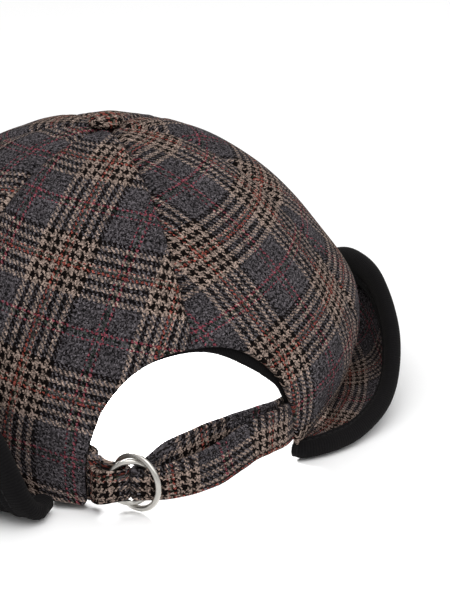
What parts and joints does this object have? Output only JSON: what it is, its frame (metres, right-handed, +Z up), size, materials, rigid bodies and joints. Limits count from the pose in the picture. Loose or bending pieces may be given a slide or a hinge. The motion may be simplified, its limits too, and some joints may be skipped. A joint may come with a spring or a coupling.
{
  "type": "deerstalker hat",
  "caption": "Soft six-panel tweed cap with a peak, folded-up ear flaps, and an open back closed by a cloth strap on two steel rings.",
  "frame": {"origin": "under the middle of the whole cap, on the surface that it rests on", "axes": "+Z up, +Y towards the back of the head, +X towards the wearer's left"},
  "size_m": [0.2174, 0.2572, 0.1125],
  "materials": {
    "tweed": "matte",
    "black_cloth": "matte",
    "steel": "satin"
  },
  "bodies": {
    "root": {"crown_panel_front_right": "tweed", "crown_panel_side_right": "tweed", "crown_panel_back_right": "tweed", "crown_panel_back_left": "tweed", "crown_panel_side_left": "tweed", "crown_panel_front_left": "tweed", "top_button": "tweed", "peak": "tweed", "ear_flap_left": "tweed", "ear_flap_right": "tweed", "strap": "tweed", "strap_tab": "tweed", "sweatband": "black_cloth", "arch_facing": "black_cloth", "ear_flap_lining_left": "black_cloth", "ear_flap_lining_right": "black_cloth", "ear_flap_binding_left": "black_cloth", "ear_flap_binding_right": "black_cloth", "ring_inner": "steel", "ring_outer": "steel"}
  },
  "joints": []
}
